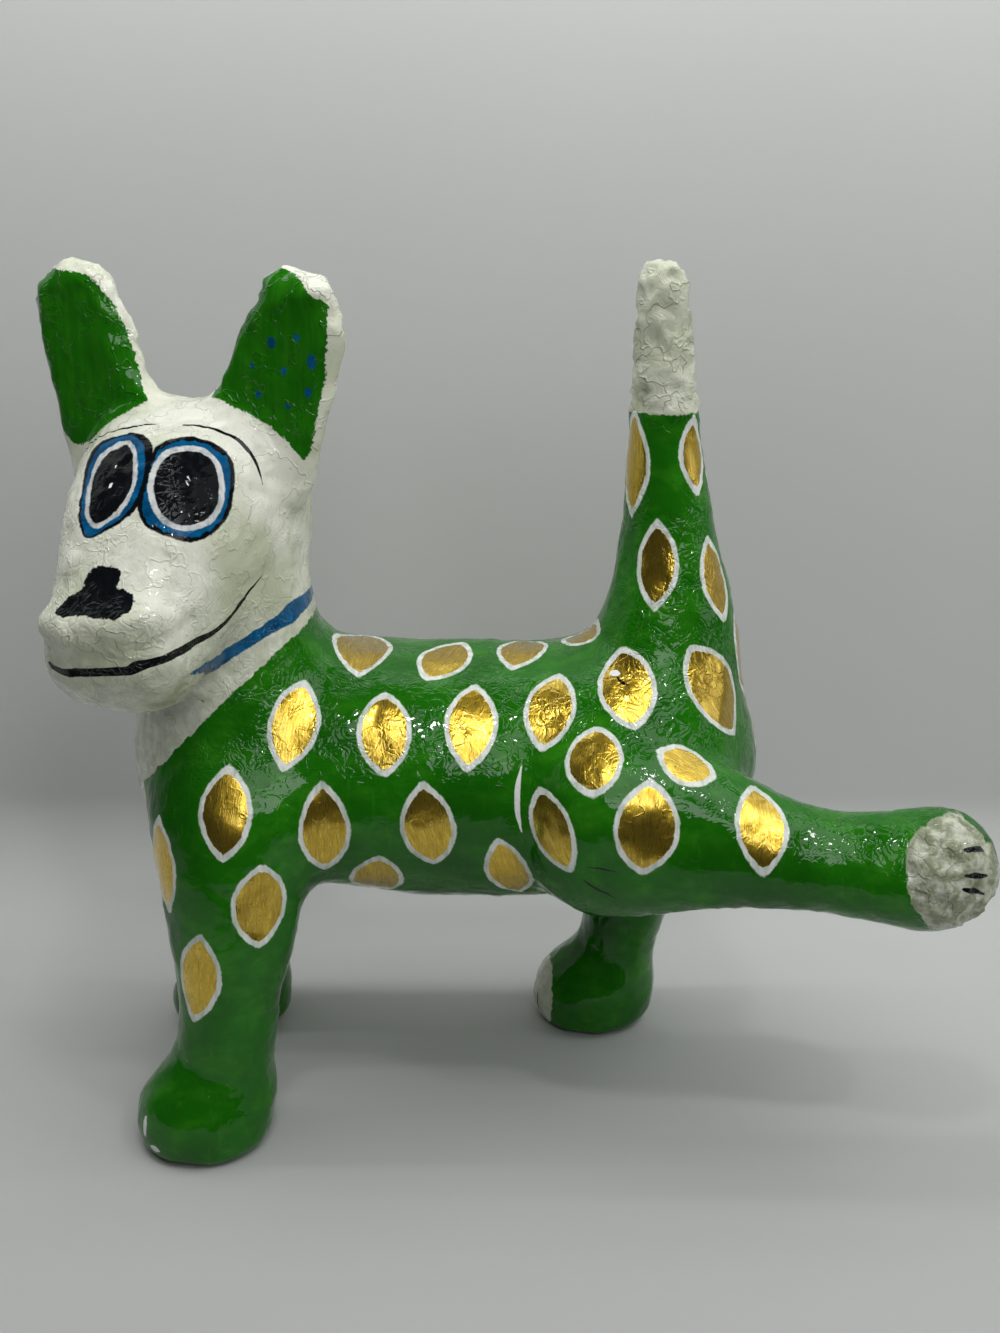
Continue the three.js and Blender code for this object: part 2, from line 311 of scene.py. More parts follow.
# millimetres within which a brushed line is looked for: a box round it, beside the brush, off
# the skin it lies on, and past its end, where it is round
brushReach = {"box": 6, "beside": 2.2, "off": 4, "past": 0.8}


def inkFields(lines, reaches):
    # for the nearest line, the distance to one side of it, counted positive to its left, and
    # the half width of the brush there. Away from every line the half width is far below zero
    offset = np.full(count, -far)
    half = np.full(count, far)
    best = np.full(count, -far)
    for through, halfWidths in lines.values():
        course = threadThrough(through, 10)
        widths = threadThrough(np.array(halfWidths)[:, None], 10)[:, 0]
        low, high = course.min(axis=0) - reaches["box"], course.max(axis=0) + reaches["box"]
        near = np.flatnonzero(((places > low) & (places < high)).all(axis=1))
        if not len(near):
            continue
        tangent = unit(np.gradient(course, axis=0))
        outward = facing[[nearestPoint(p) for p in course]]
        left = unit(np.cross(outward, tangent))
        closest = ((places[near][:, None, :] - course) ** 2).sum(-1).argmin(axis=1)
        rel = places[near] - course[closest]
        side = (rel * left[closest]).sum(axis=1)
        ahead = np.abs((rel * tangent[closest]).sum(axis=1))
        level = np.abs((rel * outward[closest]).sum(axis=1))
        reach = np.hypot(side, ahead)
        taken = (reach < widths.max() + reaches["beside"]) & (reach < best[near])
        taken &= level < reaches["off"]
        pick = near[taken]
        best[pick] = reach[taken]
        offset[pick] = side[taken]
        half[pick] = widths[closest[taken]] - np.maximum(ahead[taken] - reaches["past"], 0)
    return offset, half


# gold pointed ovals: middle of the oval, half width, half height, lean to the right in degrees
spots = {
    "nearSide": [
        ((-82.9, -38.2, 175.3), 8, 15.9, 17.5), ((-48, -39.1, 172.2), 8.8, 14.8, 0),
        ((-14.9, -35.6, 174.4), 8.5, 16.3, 5), ((14.9, -31.8, 179.1), 8.3, 15.2, 7),
        ((45.3, -30, 187.1), 9.5, 15.8, -12), ((80.7, -22.4, 184.3), 10.6, 18, -20),
        ((-106.8, -58.3, 145.8), 8.4, 15.6, 3), ((-70.3, -49.7, 136), 8.3, 16.8, 0),
        ((-31.2, -49.7, 135.7), 8.9, 16, -6.5), ((0.5, -43.2, 116.1), 7.6, 14.9, -15.6),
        ((-53, -37, 108.5), 9, 15, 10), ((-94.9, -59.6, 109), 9.4, 14.9, 4),
        ((-120.9, -61.4, 79.2), 8.3, 17, 10), ((-134.6, -51, 121.6), 7.5, 17, -8),
    ],
    "raisedThigh": [
        ((30.9, -53, 165.5), 9.2, 12.4, -12), ((66.8, -51.1, 162.7), 7.5, 9.5, -45),
        ((50.4, -67.2, 144.3), 10.5, 15.6, 4.5), ((15.6, -59.1, 140), 8.1, 14.6, -31),
        ((93.3, -65, 144), 8.4, 14.9, 1),
    ],
    "back": [
        ((-59.8, 3, 194.6), 10.2, 20.5, -1.6), ((5.5, 3.5, 192.7), 8, 14.5, 18),
        ((-26.1, -4, 191), 8.4, 14.2, 26), ((29, 8.5, 197), 6, 11, 55),
        ((-33, 38, 186), 8.3, 14.5, -10),
    ],
    "tail": [
        ((47.5, 2.2, 269.4), 7, 18.2, -4), ((56.3, -11.4, 231.3), 6.9, 14.8, -4),
        ((81.3, -6.5, 224), 6.6, 14.6, -1), ((80, 14, 262), 6.4, 14.5, 0),
        ((64, 25, 240), 6.8, 15, 3), ((48, 20, 222), 6.6, 14, -3), ((75.5, -5, 274), 5, 12.5, 0),
        ((64, 17.5, 277), 5.6, 13, 2),
    ],
    "rump": [
        ((96, 2, 192), 8.6, 16, 4), ((103, 8, 152), 8.8, 15.5, -3), ((86, 32, 196), 8.8, 16, 8),
        ((97, 37, 158), 9, 15.5, -6), ((90, 28, 122), 8.4, 14.5, 4),
    ],
    "farSide": [
        ((-86, 55, 174), 8.4, 15.6, -12), ((-52, 56, 173), 8.8, 15, 4),
        ((-17, 54, 174.5), 8.4, 16, -5), ((15, 52, 178), 8.6, 15.4, 6),
        ((50, 50, 184), 9.4, 16.2, -8), ((-108, 73, 146), 8.6, 15.8, 3),
        ((-72, 66, 137), 8.4, 16.4, -4), ((-35, 66, 136), 8.8, 15.8, 6),
        ((2, 66, 139), 8.2, 15.4, -3), ((37, 71, 146), 9.2, 16.4, 5), ((71, 67, 150), 9, 16, -7),
        ((-54, 56, 107), 8.4, 14.2, 5), ((-14, 56, 106), 8.4, 14.4, -6),
        ((-98, 76, 107), 8.8, 15.2, -4), ((-125, 70, 92), 8.2, 15.6, 5),
        ((22, 68, 108), 8.2, 15, 5), ((54, 74, 112), 8.6, 15.6, -5), ((78, 60, 112), 8.2, 15, 8),
    ],
    "chest": [
        ((-146, -20, 128), 8.2, 15.6, 6), ((-146, 20, 139), 8.4, 15.8, -4),
        ((-139, 0, 104), 8.4, 14.6, 3), ((-137, 50, 124), 8.2, 15.6, 6),
    ],
}

ovalPaint = {
    "whiteBand": 1.85,  # pale outline outside the gold
    "reach": 28,  # an oval lies on skin no farther than this from its middle,
    "depth": 16,  # no deeper than this,
    "turned": 0.3,  # and turned away from it no more than this, as the cosine of the angle
}


def spotFields(groups, paint):
    # each oval is the overlap of two equal discs that share its two tips, so the distance into
    # it is disc radius less the farther of the two disc distances: it stays pointed as it grows
    edge = np.full(count, far)
    across = np.zeros(count)
    along = np.zeros(count)
    shade = np.zeros(count)
    rng = np.random.default_rng(7)
    ovals = [spot for group in groups.values() for spot in group]
    for middle, halfWidth, halfHeight, lean in ovals:
        tone = rng.uniform()
        home = nearestPoint(middle)
        u, v, out = paintFrame(facing[home])
        rel = places - places[home]
        near = np.flatnonzero(
            ((rel * rel).sum(axis=1) < paint["reach"] ** 2)
            & (np.abs(rel @ out) < paint["depth"])
            & (facing @ out > paint["turned"])
        )
        flatU, flatV = rel[near] @ u, rel[near] @ v
        turn = math.radians(lean)
        a = flatU * math.cos(turn) - flatV * math.sin(turn)
        b = flatU * math.sin(turn) + flatV * math.cos(turn)
        radius = (halfHeight ** 2 + halfWidth ** 2) / (2 * halfWidth)
        value = radius - np.hypot(np.abs(a) + radius - halfWidth, b)
        taken = value > edge[near]
        pick = near[taken]
        edge[pick] = value[taken]
        across[pick] = (a / halfWidth)[taken]
        along[pick] = (b / halfHeight)[taken]
        shade[pick] = tone
    return edge, across, along, shade


neckPaint = {
    "nape": (-77.6, 6.1, 209.2),  # where the white bib meets the green at the back
    "chest": (-143.6, -26.9, 144.4),
    "sideLift": 3.8,  # how far the edge climbs at sideReach from the middle
    "sideReach": 40,
    "middle": 3.0,
    "collarNape": (-79.0, 3.0, 216.4),
    "collarChest": (-147.0, 3.0, 175.9),
    "collarSideLift": 2.5,
    "collarHalfWidth": 2.3,
    "collarBulge": (-84.5, 4.0, 1.3),  # where the brush was pressed: place, length, added width
    "core": (-114.9, 4.1),  # the neck's middle at the height of the collar
    "lean": 0.19,  # how far the middle moves ahead for each millimetre down
    "coreHeight": 205,
    "reach": 70,  # skin farther from the core is the head: the collar tapers away under it
    "taper": 24,  # over this length before the reach
    "tipLift": 0.3,  # how much its middle rises as it narrows
}


def neckPlanes(paint):
    # distance above a plane through the nape and the chest that runs straight across the dog,
    # lifted on both sides as the square of the distance from the middle
    side = ((places[:, 1] - paint["middle"]) / paint["sideReach"]) ** 2
    fields = []
    for nape, chest, lift in (("nape", "chest", "sideLift"),
                              ("collarNape", "collarChest", "collarSideLift")):
        run = np.array(paint[chest]) - paint[nape]
        above = unit(np.array([run[2], 0, -run[0]]))
        fields.append((places - paint[nape]) @ above - paint[lift] * side)
    return fields


def neckFields(paint):
    # distances into the white bib and into the collar, which is a band of the collar's half
    # width about its plane that narrows in a straight line where the neck goes into the head
    bib, collar = neckPlanes(paint)
    fromNeck = np.hypot(
        places[:, 0] - paint["core"][0] - paint["lean"] * (paint["coreHeight"] - places[:, 2]),
        places[:, 1] - paint["core"][1],
    )
    place, length, added = paint["collarBulge"]
    halfWidth = paint["collarHalfWidth"] + added * np.exp(
        -((places[:, 0] - place) / length) ** 2
    )
    lost = halfWidth * np.clip((fromNeck - paint["reach"]) / paint["taper"] + 1, 0, 1)
    collar = halfWidth - lost - np.abs(collar - paint["tipLift"] * lost)
    onNeck = aheadOfBack & (fromNeck < paint["reach"])
    return np.where(aheadOfBack, bib, far), np.where(onNeck, collar, far)


earPaint = {
    "axis": (-124.88, 1.07),  # the upright line about which the head turns
    "turn": 17,
    "far": [
        (-66, 331), (-62, 338.5), (-56, 343), (-48.3, 341), (-39.7, 340.8), (-34.7, 338.3),
        (-31, 334.4), (-27.4, 328.6), (-24.6, 321.6), (-21.7, 313.3), (-19.2, 305.8),
        (-15.9, 298.5), (-13, 295.1), (-12.9, 292.8), (-17, 291.1), (-22.1, 287.8),
        (-26.9, 284.3), (-32.3, 279.9), (-40.1, 276.2), (-48, 275), (-53, 281), (-56.5, 290.8),
        (-60, 300.1), (-64, 312.9), (-66.5, 324.5),
    ],
    "near": [
        (13.5, 296.5), (15.5, 303.2), (19.5, 310.9), (22.5, 318.7), (26.5, 326.7), (31, 335.6),
        (35, 341), (39.5, 344), (46.8, 341.1), (51.8, 338.1), (55, 334.4), (59.1, 332.2),
        (61.3, 330.1), (61.4, 322.9), (60.4, 312.9), (59.4, 303.8), (57.8, 296), (55.5, 286.7),
        (53.8, 279.9), (51, 273.4), (47.6, 276.4), (43.1, 281.6), (36, 286.5), (29, 290.3),
        (22.9, 292.4), (18.7, 294.5),
    ],
    # blue dots on the near ear: place, half width, half height
    "dots": [
        (39.6, 316.5, 1.6, 2.4), (49.9, 318.5, 1.3, 1.9), (55.2, 309.9, 1.5, 3.1),
        (31.5, 307.6, 1.2, 1.5), (43.9, 306, 1.3, 1.5), (33.4, 297.3, 1.2, 1.5),
        (53.4, 298.3, 1.4, 2.2), (45.3, 293.3, 1.2, 1.5),
    ],
    "rimTurn": 0.30,  # skin turned further from the front than this keeps its white
}


def earFields(paint):
    turn = math.radians(paint["turn"])
    ahead = np.array([-math.sin(turn), -math.cos(turn), 0])
    left = np.array([math.cos(turn), -math.sin(turn), 0])
    rel = places - (*paint["axis"], 0)
    flatPlaces = np.stack([rel @ left, places[:, 2]], axis=1)
    front = facing @ ahead
    onEars = (places[:, 2] > 262) & (places[:, 0] < -40)
    green = np.full(count, far)
    for name in ("far", "near"):
        curve = threadThrough(paint[name], 4, closed=True)
        value = insideDistance(flatPlaces[onEars], curve)
        green[onEars] = np.maximum(green[onEars], value)
    green = np.minimum(green, (front - paint["rimTurn"]) * 9)
    dots = np.full(count, far)
    for x, z, halfWidth, halfHeight in paint["dots"]:
        reach = np.hypot((flatPlaces[:, 0] - x) / halfWidth, (flatPlaces[:, 1] - z) / halfHeight)
        value = (1 - reach) * min(halfWidth, halfHeight)
        dots = np.where(onEars & (front > 0.2), np.maximum(dots, value), dots)
    return green, dots


pawPaint = {
    "patch": [
        (145.1, -76.1, 131.4), (146.1, -72.7, 137.9), (148.4, -69.9, 141.5),
        (153.9, -66.2, 145.1), (160.4, -61.7, 147.3), (167.5, -57.6, 146.9), (171, -62.2, 144.5),
        (175.5, -66.1, 140.5), (180, -66.2, 135.4), (184.3, -66, 127.5), (182, -68, 116.4),
        (176, -70.1, 108), (168, -72.2, 105), (160, -75.3, 106), (153.5, -76.8, 111.8),
        (149.3, -77.6, 117.8), (146, -77.6, 124),
    ],
    "toeEdge": 19.2,  # the standing hind foot is white in front of this x
    "toeTop": 28,
    "tailEdge": 288.3,
}

# pale flecks: place, half width, half height; the first three are painted highlights in the eyes, the
# rest drops and chips of paint
flecksAndEyeHighlights = [
    ((-117.2, -41.1, 269.1), 0.8, 2), ((-145.6, -31, 273), 0.8, 0.8),
    ((-146.3, -37.5, 267), 1, 1.4), ((-126.8, -59.5, 41.6), 0.9, 1.1),
    ((112.7, -65.2, 140.7), 0.9, 0.9), ((40.8, -24.2, 190.9), 2.2, 1.6),
    ((-117.5, -62.5, 80), 0.7, 0.6), ((-144.7, -62.5, 14.4), 1.6, 5),
    ((-140.5, -67, 7.2), 3, 1.6),
]


def dotField(dots):
    # distance into the nearest of several small ellipses, each flat on the skin at its place
    field = np.full(count, far)
    for middle, halfWidth, halfHeight in dots:
        home = nearestPoint(middle)
        u, v, out = paintFrame(facing[home])
        rel = places - np.array(middle)
        near = ((rel * rel).sum(axis=1) < 15 ** 2) & (facing @ out > 0.3)
        reach = np.hypot(rel @ u / halfWidth, rel @ v / halfHeight)
        value = (1 - reach) * min(halfWidth, halfHeight)
        field = np.where(near, np.maximum(field, value), field)
    return field


# painted shade with some grime on the white, by region: how much each region takes, and where it starts
# and stops
shadeAndGrime = {
    "paw": 0.95,
    "tailTip": 0.2,
    "bib": 0.35,
    "feet": 0.3,
    "tailFrom": 270,
    "feetTo": 40,
    "headFrom": (205, 225),  # the painted shade on the neck under the head fades out between these heights
}


def shadeAndGrimeShare():
    # how far the white is darkened towards green grey, from 0 to 1, by region: painted shade with some
    # grime, strongest on the raised paw, then the neck under the head, the feet and the tail tip
    height = places[:, 2]
    share = np.where(onRaisedPaw, shadeAndGrime["paw"], 0.0)
    share = np.maximum(share, shadeAndGrime["tailTip"] * ((height > shadeAndGrime["tailFrom"]) & onTail))
    share = np.maximum(share, shadeAndGrime["feet"] * (height < shadeAndGrime["feetTo"]))
    onHead = easeStep(*shadeAndGrime["headFrom"], height)
    share = np.maximum(share, shadeAndGrime["bib"] * aheadOfBack * (1 - onHead))
    return neighbourMean(neighbourMean(share))[:, 0]


def acrossFace():
    # how far each point lies to the right of the face sheet's origin
    return (places - faceSheet["origin"]) @ paintFrame(faceSheet["facing"])[0]


thinVarnish = {
    # across the face from the middle of the near eye's left edge: the pupil keeps its gloss
    # between the first pair and the second
    "keptFrom": (0, 3),
    "keptTo": (9, 14),
    "farEye": 0.85,
    "nose": 0.7,
}


def dulledShare(fields, values):
    # where the varnish is thin, from 0 to 1: both eyes, except along the left of the near
    # pupil, and the nose
    along = acrossFace()
    dulled = np.maximum(easeStep(*values["keptTo"], along),
                        1 - easeStep(*values["keptFrom"], along))
    share = easeStep(-1, 1, fields["nearRim"]) * dulled
    share = np.maximum(share, values["farEye"] * easeStep(-1, 1, fields["farRim"]))
    return np.maximum(share, values["nose"] * easeStep(-1.5, 0.5, fields["noseEdge"]))


def layOutPaint():
    fields = {}
    layers = ("spotEdge", "spotAcross", "spotAlong", "spotTone")
    fields.update(zip(layers, spotFields(spots, ovalPaint)))
    bib, collar = neckFields(neckPaint)
    pawAcross, pawAlong, _ = paintFrame(pawSheet["facing"])
    rel = np.array(pawPaint["patch"]) - pawSheet["origin"]
    patch = stencil(pawSheet, np.stack([rel @ pawAcross, rel @ pawAlong], axis=1), -0.25)
    toe = np.minimum(pawPaint["toeEdge"] - places[:, 0], pawPaint["toeTop"] - places[:, 2])
    toe = np.where((places[:, 1] > 20) & (places[:, 0] > -20), toe, far)
    tail = np.where(onTail, places[:, 2] - pawPaint["tailEdge"], far)
    fields["whiteEdge"] = np.clip(np.max([bib, tail, patch, toe], axis=0), far, -far)
    fields["collarEdge"] = collar
    fields["earGreen"], fields["earDots"] = earFields(earPaint)
    for name in ("nearRim", "nearPupil", "farRim", "farBlue", "farPupil"):
        fields[name] = stencil(faceSheet, eyes[name])
    fields["noseEdge"] = stencil(faceSheet, nose)
    fields["inkOffset"], fields["inkHalf"] = inkFields(inkLines, brushReach)
    fields["betweenOffset"], fields["betweenHalf"] = inkFields(inkLinesBetween, brushReach)
    fields["paleOffset"], fields["paleHalf"] = inkFields(paleLines, brushReach)
    # pale flecks, with the painted highlights in the eyes
    fields["flecksAndEyeHighlights"] = dotField(flecksAndEyeHighlights)
    # painted shade with some grime on the white, by region
    fields["shadeAndGrimeLayer"] = shadeAndGrimeShare()
    fields["patches"] = 0.5 + 0.1 * (ripple(places, 60, 31) + 0.6 * ripple(places, 22, 32))
    fields["dulled"] = dulledShare(fields, thinVarnish)
    return fields


def storeLayer(name, values):
    layer = dogMesh.attributes.new(name, "FLOAT", "POINT")
    layer.data.foreach_set("value", values.astype(np.float32))


paint = layOutPaint()
for name, values in paint.items():
    storeLayer(name, values)
print("paint laid out:", len(paint), "layers")


# relief: torn strips, wrinkles and dents

relief = {
    "strips": 300,
    "stripHalfLength": 27,
    "stripHalfWidth": 10,
    "stripCorner": 4,
    "stripThickness": 0.2,
    "tornEdge": 1.6,
    "tears": [(1.5, 13, 3), (0.6, 5, 4)],  # how far an edge wanders, over what length, and seed
    "dents": 0.45,
    "dentLength": 46,
    "wrinkles": 0.10,
    "fineFolds": (9, 11, 1.2),  # wavelength, seed and how steeply a fold falls away
    "coarseFolds": (14, 12, 1.1),
    "roughWrinkles": 0.55,
    "creaseDepth": 1.4,
    "creaseFrom": 0.25,  # a hollow counts once the skin lies this far under its surroundings,
    "creaseTo": 1.2,  # and no more past this
    "soleEdge": (1.5, 7),  # the soles stay flat on the table: no relief under the first height
    "smoothRounds": 5,
}


def pasteStrips(values):
    # each strip is a rounded rectangle laid flat on the skin at a random place and angle; its
    # height rises by one paper thickness across a torn edge, and strips add up
    rng = np.random.default_rng(21)
    tearing = sum(size * ripple(places, length, seed) for size, length, seed in values["tears"])
    corner = values["stripCorner"]
    height = np.zeros(count)
    homes = rng.integers(0, count, values["strips"])
    for home in homes:
        out = facing[home]
        u = unit(np.cross(out, unit(rng.normal(size=3))))
        v = np.cross(out, u)
        halfLength = values["stripHalfLength"] * rng.uniform(0.6, 1.3)
        halfWidth = values["stripHalfWidth"] * rng.uniform(0.7, 1.3)
        rel = places - places[home]
        near = np.flatnonzero(
            ((rel * rel).sum(axis=1) < (halfLength + 2 * corner) ** 2) & (facing @ out > 0.2)
        )
        a = np.abs(rel[near] @ u) - halfLength + corner
        b = np.abs(rel[near] @ v) - halfWidth + corner
        gap = np.hypot(np.maximum(a, 0), np.maximum(b, 0)) + np.minimum(np.maximum(a, b), 0)
        gap -= corner
        height[near] += 1 - easeStep(-values["tornEdge"] / 2, values["tornEdge"] / 2,
                                     gap + tearing[near])
    return (height - height.mean()) * values["stripThickness"]


crumples = {
    "muzzle": (-145, -78, 222),
    "muzzleSize": (26, 16, 9),
    "tailFrom": (276, 292),
    "earsFrom": (300, 325),
    "tailShare": 0.9,
    "pawShare": 1.3,
    "earShare": 0.8,
}


def roughPlaces(values):
    # where the paper is most crumpled: muzzle, tail tip, raised paw and ear rims, from 0 to 1
    muzzle = np.exp(-(((places - values["muzzle"]) / values["muzzleSize"]) ** 2).sum(axis=1))
    tailTip = easeStep(*values["tailFrom"], places[:, 2]) * onTail
    paw = easeStep(-2, 4, paint["whiteEdge"]) * onRaisedPaw
    ears = easeStep(*values["earsFrom"], places[:, 2]) * aheadOfBack * (paint["earGreen"] < 2)
    shares = values["tailShare"] * tailTip + values["pawShare"] * paw
    return np.clip(muzzle + shares + values["earShare"] * ears, 0, values["pawShare"])


ruffled = roughPlaces(crumples)
whiteShare = easeStep(0, 4, paint["whiteEdge"])


lip = {
    "snout": (-100, 185, 250),  # ahead of this x, between these heights
    "fade": (0.45, 0.8),  # shares of the mouth line's length
    "bulge": (2.6, 15, 5),  # height, how far above the mouth, and half width
    "hollow": (1.8, 6, 4),
    "lowest": -3,
    "groove": (1.0, 2.6),  # depth and half width
}


def muzzleRelief(values):
    # the upper lip stands out in a rounded ledge above the mouth, and the painted mouth lies
    # in a shallow groove: both are bell curves across the mouth line, faded towards its end
    course = threadThrough(inkLines["mouth"][0], 8)
    ahead, low, high = values["snout"]
    snout = np.flatnonzero(
        (places[:, 0] < ahead) & (places[:, 2] > low) & (places[:, 2] < high)
    )
    rel = places[snout][:, None, :] - course
    closest = (rel ** 2).sum(-1).argmin(axis=1)
    above = places[snout, 2] - course[closest, 2]
    gap = np.sqrt((rel ** 2).sum(-1).min(axis=1))
    fade = 1 - easeStep(*values["fade"], closest / len(course))
    front = easeStep(0, 0.4, -facing[snout, 1])
    bulge, hollow = (size * np.exp(-((above - middle) / width) ** 2)
                     for size, middle, width in (values["bulge"], values["hollow"]))
    depth, width = values["groove"]
    groove = depth * np.exp(-(gap / width) ** 2)
    height = np.zeros(count)
    height[snout] = ((bulge - hollow) * (above > values["lowest"]) - groove) * fade * front
    return height


def raiseRelief(values):
    # strips, soft dents, and wrinkles, which stand where a ripple crosses its middle, with the
    # hollows between limbs deepened a little
    folds, coarse = (1 - np.abs(ripple(places, length, seed)) * fall
                     for length, seed, fall in (values["fineFolds"], values["coarseFolds"]))
    height = pasteStrips(values)
    height += values["dents"] * ripple(places, values["dentLength"], 5) * (1 - 0.5 * whiteShare)
    height += values["wrinkles"] * folds * (1 + whiteShare)
    height += values["roughWrinkles"] * ruffled * (folds + coarse)
    height += muzzleRelief(lip)
    smooth = neighbourMean(places)
    for _ in range(values["smoothRounds"]):
        smooth = neighbourMean(smooth)
    hollow = ((smooth - places) * facing).sum(axis=1) - values["creaseFrom"]
    height -= values["creaseDepth"] * np.clip(hollow, 0, values["creaseTo"])
    return height * easeStep(*values["soleEdge"], places[:, 2])


tissue = {
    "patchLength": 26,
    "sparse": 0.25,  # share left between the patches
    "backFrom": (145, 175),
    "tailFrom": 262,
    "legFrom": (60, 90),  # along the raised leg, on top
    "below": 0.15,  # share left under the back
    "onWhite": 0.7,
    "onGold": 0.4,
    "onCrumples": 0.5,
    "pupilFrom": (2, 5),  # across the face, as for the thin varnish
    "pupilTo": (10, 16),
}


def busyPlaces(values):
    # where the pasted tissue is gathered into fine facets, from 0 to 1: patches of the
    # shoulder, the back, the rump and the top of the raised leg, the left of the near pupil,
    # and less on the white paper and the gold
    patches = easeStep(-0.5, 1.0, ripple(places, values["patchLength"], 17))
    upper = easeStep(*values["backFrom"], places[:, 2]) * (places[:, 2] < values["tailFrom"])
    leg = easeStep(*values["legFrom"], places[:, 0]) * easeStep(0.1, 0.7, facing[:, 2])
    share = values["sparse"] + (1 - values["sparse"]) * patches
    share *= values["below"] + (1 - values["below"]) * np.maximum(upper, leg)
    share *= 1 - (1 - values["onWhite"]) * whiteShare
    share += values["onCrumples"] * ruffled
    share *= 1 - (1 - values["onGold"]) * easeStep(-0.5, 1.0, paint["spotEdge"])
    along = acrossFace()
    pupil = easeStep(-3, -1, paint["nearPupil"]) * easeStep(*values["pupilFrom"], along)
    return np.clip(np.maximum(share, pupil * (1 - easeStep(*values["pupilTo"], along))), 0, 1)


# how high the thin seams between pasted scraps stand, anywhere and besides on the white paper
# and the crumples, and the share of it that eyes and nose lose
seamHeights = {"anywhere": 0.25, "onWhite": 1.1, "onCrumples": 1.2, "lostUnderBlack": 0.8}


def seamedPlaces(values):
    height = values["anywhere"] + values["onWhite"] * whiteShare + values["onCrumples"] * ruffled
    painted = np.max([paint["nearRim"], paint["farRim"], paint["noseEdge"]], axis=0)
    return height * (1 - values["lostUnderBlack"] * easeStep(-1, 1, painted))


# where the facets are looked up: each point's own place, bent a little
bends = {"size": 1.8, "length": 8.5, "seeds": (31, 32, 33)}
bentPlaces = places + bends["size"] * np.stack(
    [ripple(places, bends["length"], seed) for seed in bends["seeds"]], axis=1
)
bent = dogMesh.attributes.new("bentPlace", "FLOAT_VECTOR", "POINT")
bent.data.foreach_set("vector", (bentPlaces * mm).astype(np.float32).ravel())
storeLayer("seamed", seamedPlaces(seamHeights))
storeLayer("crumpled", busyPlaces(tissue))
lifted = raiseRelief(relief)
places = places + facing * lifted[:, None]
dogMesh.vertices.foreach_set("co", (places * mm).ravel())
dogMesh.polygons.foreach_set("use_smooth", np.ones(len(dogMesh.polygons), dtype=bool))
dogMesh.update()
dogSkin = bpy.data.objects.new("paintedDogSkin", dogMesh)
bpy.context.scene.collection.objects.link(dogSkin)
print("relief raised, from", round(float(lifted.min()), 2), "to", round(float(lifted.max()), 2))


# painted finish

finish = {
    "green": (0.010, 0.135, 0.002),
    "lightGreen": (0.045, 0.250, 0.010),
    "deepGreen": (0.005, 0.085, 0.001),
    "white": (0.76, 0.77, 0.67),
    "washedWhite": (0.50, 0.53, 0.38),
    # dull white: what the painted shade and grime on the white darken towards, also the colour of its
    # fine fold lines
    "dullWhite": (0.24, 0.27, 0.17),
    "outline": (0.74, 0.77, 0.73),
    "thinOutline": (0.46, 0.53, 0.47),
    "gold": (0.88, 0.64, 0.075),
    "darkGold": (0.54, 0.33, 0.025),
    "blue": (0.003, 0.105, 0.255),
    "deepBlue": (0.001, 0.050, 0.130),
    "black": (0.004, 0.005, 0.006),
    "thinBlack": (0.014, 0.017, 0.019),
    "paleRing": (0.60, 0.62, 0.60),  # of the eyes
    "thinRing": (0.34, 0.37, 0.38),
    # pale paint, also the painted highlights in the eyes
    "fleckAndEyeHighlight": (0.80, 0.81, 0.78),
    "speck": (0.16, 0.17, 0.12),  # of dirt in the white
    "crack": (0.05, 0.028, 0.008),  # in the gold
    "edge": 0.22,  # half width of the blend at a painted edge
    "fineEdge": 0.12,
    "wobble": 0.55,  # how far a painted edge wanders
    "underGloss": 0.0,
    "gloss": 1.0,
    "thinGloss": 0.15,
    "varnish": 1.4,  # how strongly it bends light
    "glossRoughness": 0.045,
}


brushwork = {
    # how many waves of a noise go into a metre, and how the drawn out ones are turned
    "streaks": (75, 130, 130),
    "streaksTurned": (0.2, 0.5, 0.3),
    "strokes": (340, 260, 55),
    "strokesTurned": (0.1, -0.15, 0),
    "wander": 190,
    "shiver": 800,
    "wanderSize": 2.2,  # in wobbles
    "shiverSize": 0.9,
    "shadeAndGrimeSpread": (0.38, 0.62, 0.35, 1.2),  # how the painted shade and grime on the white follow the wandering noise
    "foldWidth": 0.012,
    # gold leaf: strokes across an oval and along it, bent by a noise, with cracks between them
    "goldAcross": 7.0,
    "goldAlong": 1.1,
    "goldApart": 37.0,  # keeps one oval's strokes from another's
    "goldBend": (60, 5.0),
    "goldStrokes": 1.6,
    "goldLines": 3.4,
    "crackWidth": 0.028,
    "cracked": (0.42, 0.56),
    # how far a coat's edge follows a noise, in millimetres
    "goldEdge": 0.8,
    "whiteEdge": 2.5,
    "earEdge": 1.6,
    "rimEdge": 3.0,
    "noseEdge": 1.2,
    "inkEdge": 0.35,
    "fleckEdge": 0.4,
    "tips": 0.35,  # how much the pale outline grows at an oval's tips
    # roughness under the varnish, over the middle of a noise
    "middle": (0.3, 0.7),
    "paintRoughness": (0.34, 0.52),
    "goldRoughness": (0.36, 0.22),
    # height of the bump: facets, soft folds, gold grain and seams
    "facets": 240,
    "facetEdge": 0.22,
    "facetHeight": 1.3,
    "softFolds": (150, 0.9),
    "grainEdge": (-0.2, 0.4),
    "grainHeight": 0.35,
    "seams": 48,
    "seamWidth": 0.016,
    "bumpHeight": 0.00016,  # metres
}


